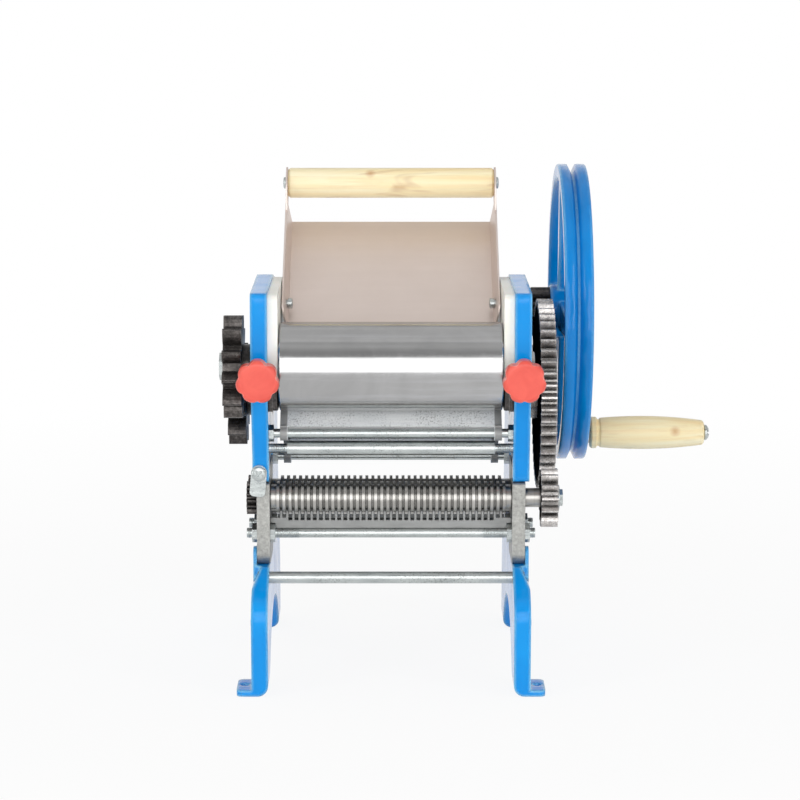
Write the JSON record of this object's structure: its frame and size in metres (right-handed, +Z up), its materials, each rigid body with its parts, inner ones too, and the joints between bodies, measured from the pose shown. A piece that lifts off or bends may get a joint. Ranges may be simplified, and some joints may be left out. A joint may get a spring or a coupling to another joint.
{
  "type": "noodle machine",
  "caption": "Table-top noodle machine: blue cast side frames carry geared pressing rollers over a ring cutter head, with a hinged feed tray and a belt-groove crank handwheel.",
  "frame": {"origin": "on the table, midway between the four foot holes", "axes": "+X to the handwheel on the machine's right, +Y to the back, +Z up"},
  "size_m": [0.3407, 0.2661, 0.3385],
  "materials": {
    "cast_blue": "glossy sky-blue enamel on sand-cast iron",
    "cheek_cream": "cream nylon, satin",
    "bush_bronze": "turned bronze",
    "zinc_steel": "bright zinc plate",
    "scraper_steel": "sheet steel, satin",
    "plate_iron": "fine sand-cast grey, speckled",
    "roller_steel": "ground and polished, fine turning lines",
    "cutter_steel": "turned rings, satin",
    "gear_black": "blackened and oiled",
    "gear_grey": "cut teeth, dull grey",
    "knob_red": "moulded coral red",
    "tray_sheet": "satin stainless sheet",
    "pine": "turned pine, clear lacquer"
  },
  "bodies": {
    "frame": {"left_frame": "cast_blue", "right_frame": "cast_blue", "left_cheek": "cheek_cream", "right_cheek": "cheek_cream", "rear_roller_bushes": "bush_bronze", "wheel_shaft_bushes": "bush_bronze", "upper_tie_rod": "zinc_steel", "lower_tie_rod": "zinc_steel", "rear_tie_rod": "zinc_steel", "tray_rest_rod": "zinc_steel", "front_scraper": "scraper_steel", "front_scraper_rod": "zinc_steel", "rear_scraper": "scraper_steel", "rear_scraper_rod": "zinc_steel", "scraper_nuts": "zinc_steel", "left_cutter_plate": "plate_iron", "right_cutter_plate": "plate_iron", "front_comb": "scraper_steel", "rear_comb": "scraper_steel", "cutter_tie_rods": "zinc_steel", "cutter_rod_nuts": "zinc_steel", "latch_screw": "zinc_steel", "tray_screws": "zinc_steel"},
    "handwheel": {"handwheel": "cast_blue", "wheel_shaft": "roller_steel", "wheel_pinion": "gear_black", "wheel_nut": "zinc_steel", "wheel_collar": "zinc_steel", "crank_bolt": "zinc_steel", "crank_nut": "zinc_steel"},
    "crank_grip": {"crank_grip": "pine"},
    "rear_roller": {"rear_roller": "roller_steel", "rear_roller_gear": "gear_black", "drive_gear": "gear_grey", "rear_gear_nut": "zinc_steel", "drive_gear_nut": "zinc_steel"},
    "roller_carriage": {"left_bearing_block": "gear_black", "right_bearing_block": "gear_black"},
    "front_roller": {"front_roller": "roller_steel", "front_roller_gear": "gear_black", "front_gear_nut": "zinc_steel"},
    "left_knob": {"left_knob": "knob_red", "left_adjusting_screw": "zinc_steel"},
    "right_knob": {"right_knob": "knob_red", "right_adjusting_screw": "zinc_steel"},
    "front_cutter": {"front_cutter": "cutter_steel", "cutter_pinion": "gear_grey", "pinion_screw": "zinc_steel", "front_cutter_gear": "gear_black"},
    "rear_cutter": {"rear_cutter": "cutter_steel", "rear_cutter_gear": "gear_black"},
    "latch": {"latch_strap": "zinc_steel"},
    "feed_tray": {"feed_tray": "tray_sheet", "carry_handle": "pine", "handle_screws": "zinc_steel"}
  },
  "joints": [
    {"name": "handwheel_spin", "type": "hinge", "parent": "frame", "child": "handwheel", "pos_m": [0, 0.05814, 0.23451], "axis": [1, 0, 0], "continuous": true},
    {"name": "crank_grip_spin", "type": "hinge", "parent": "handwheel", "child": "crank_grip", "pos_m": [0, 0.05814, 0.14751], "axis": [1, 0, 0], "continuous": true},
    {"name": "rear_roller_spin", "type": "hinge", "parent": "frame", "child": "rear_roller", "pos_m": [0, -0.00268, 0.18648], "axis": [1, 0, 0], "continuous": true},
    {"name": "gap_slide", "type": "slide", "parent": "frame", "child": "roller_carriage", "axis": [0, -1, 0], "range_m": [0, 0.003]},
    {"name": "front_roller_spin", "type": "hinge", "parent": "roller_carriage", "child": "front_roller", "pos_m": [0, -0.056, 0.214], "axis": [1, 0, 0], "continuous": true},
    {"name": "left_knob_turn", "type": "hinge", "parent": "roller_carriage", "child": "left_knob", "pos_m": [-0.087, -0.09, 0.211], "axis": [0, -1, 0], "range_deg": [0, 720]},
    {"name": "right_knob_turn", "type": "hinge", "parent": "roller_carriage", "child": "right_knob", "pos_m": [0.087, -0.09, 0.211], "axis": [0, -1, 0], "range_deg": [0, 720]},
    {"name": "front_cutter_spin", "type": "hinge", "parent": "frame", "child": "front_cutter", "pos_m": [0, -0.05254, 0.12392], "axis": [1, 0, 0], "continuous": true},
    {"name": "rear_cutter_spin", "type": "hinge", "parent": "frame", "child": "rear_cutter", "pos_m": [0, -0.03254, 0.12392], "axis": [1, 0, 0], "continuous": true},
    {"name": "latch_swing", "type": "hinge", "parent": "frame", "child": "latch", "pos_m": [-0.088, -0.06634, 0.14392], "axis": [0, 1, 0], "range_deg": [0, 90]},
    {"name": "tray_tilt", "type": "hinge", "parent": "frame", "child": "feed_tray", "pos_m": [0, -0.00998, 0.25], "axis": [1, 0, 0], "range_deg": [0, 50]}
  ],
  "couplings": [
    {"joint": "rear_roller_spin", "follows": "handwheel_spin", "ratio": -0.24},
    {"joint": "front_roller_spin", "follows": "handwheel_spin", "ratio": 0.24},
    {"joint": "front_cutter_spin", "follows": "handwheel_spin", "ratio": 0.85714},
    {"joint": "rear_cutter_spin", "follows": "handwheel_spin", "ratio": -0.85714},
    {"joint": "left_knob_turn", "follows": "gap_slide", "rad_per_m": 4188.8},
    {"joint": "right_knob_turn", "follows": "gap_slide", "rad_per_m": 4188.8}
  ]
}
